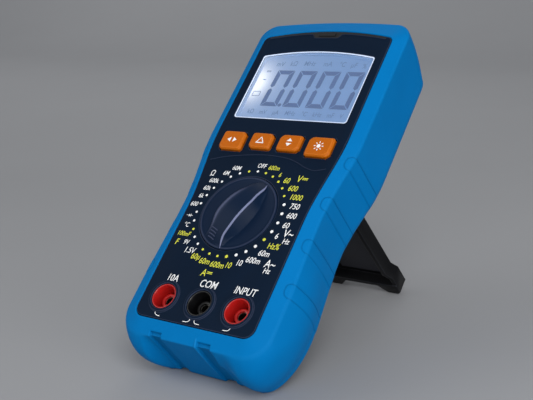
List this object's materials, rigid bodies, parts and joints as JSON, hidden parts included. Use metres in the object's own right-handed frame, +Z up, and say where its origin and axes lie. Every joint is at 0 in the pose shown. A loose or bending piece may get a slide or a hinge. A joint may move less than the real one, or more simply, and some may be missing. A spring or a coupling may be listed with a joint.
{
  "type": "handheld digital multimeter",
  "caption": "Handheld digital multimeter in a rubber holster, leaning on its fold-out stand: a backlit display, push buttons, a rotary selector and shrouded test-lead sockets.",
  "frame": {"origin": "centre of the footprint, on the surface that the meter stands on", "axes": "+Z up, the face looks towards -Y and up, +X to the right as the face is read"},
  "size_m": [0.0816, 0.1534, 0.1404],
  "materials": {
    "holster": "satin moulded rubber",
    "panel": "fine textured ABS with printed markings",
    "rear": "fine textured ABS",
    "window": "clear polished acrylic",
    "lcd": "lit liquid-crystal glass",
    "light_guide": "milky light guide",
    "white_plastic": "moulded white plastic",
    "strip": "layered silicone",
    "lens": "translucent polycarbonate",
    "knob": "satin ABS",
    "button": "moulded silicone with white print",
    "red_jack": "polished polyamide",
    "black_jack": "polished polyamide",
    "brass": "gold-plated brass",
    "steel": "zinc-plated steel",
    "board": "green solder mask",
    "component": "moulded epoxy",
    "protector": "dipped epoxy",
    "ceramic": "glazed ceramic with end caps",
    "battery": "plain wrapped cell block",
    "stand": "textured ABS"
  },
  "bodies": {
    "meter": {"holster": "holster", "front_case": "panel", "rear_case": "rear", "display_window": "window", "sensor_lens": "lens", "lcd_glass": "lcd", "lcd_backlight": "light_guide", "backlight_leds": "white_plastic", "lcd_frame": "white_plastic", "zebra_strip": "strip", "detent_ring": "white_plastic", "key_switches": "component", "main_board": "board", "contact_tracks": "brass", "measuring_chip": "component", "buzzer": "component", "current_shunt": "brass", "surge_protectors": "protector", "reservoir_capacitor": "component", "large_fuse": "ceramic", "small_fuse": "ceramic", "fuse_clips": "steel", "current_jack": "red_jack", "common_jack": "black_jack", "input_jack": "red_jack", "jack_contacts": "brass", "battery": "battery", "battery_contacts": "steel", "battery_cover": "rear", "battery_cover_screw": "steel", "case_screws": "steel", "board_screws": "steel", "stand_pin": "steel"},
    "selector": {"selector_knob": "knob", "switch_rotor": "white_plastic", "wiper_contacts": "brass", "detent_balls": "steel", "detent_springs": "steel"},
    "mode_button": {"mode_button": "button"},
    "relative_button": {"relative_button": "button"},
    "peak_button": {"peak_button": "button"},
    "light_button": {"light_button": "button"},
    "stand": {"tilt_stand": "stand"}
  },
  "joints": [
    {"name": "selector_turn", "type": "hinge", "parent": "meter", "child": "selector", "pos_m": [-0.0025, -0.03346, 0.06629], "axis": [0, -0.682, 0.7314], "continuous": true},
    {"name": "mode_button_press", "type": "slide", "parent": "meter", "child": "mode_button", "axis": [0, 0.682, -0.7314], "range_m": [0, 0.0008], "stiffness_N_per_m": 800},
    {"name": "relative_button_press", "type": "slide", "parent": "meter", "child": "relative_button", "axis": [0, 0.682, -0.7314], "range_m": [0, 0.0008], "stiffness_N_per_m": 800},
    {"name": "peak_button_press", "type": "slide", "parent": "meter", "child": "peak_button", "axis": [0, 0.682, -0.7314], "range_m": [0, 0.0008], "stiffness_N_per_m": 800},
    {"name": "light_button_press", "type": "slide", "parent": "meter", "child": "light_button", "axis": [0, 0.682, -0.7314], "range_m": [0, 0.0008], "stiffness_N_per_m": 800},
    {"name": "stand_fold", "type": "hinge", "parent": "meter", "child": "stand", "pos_m": [0, 0.01625, 0.06944], "axis": [-1, 0, 0], "range_deg": [0, 87.52]}
  ]
}
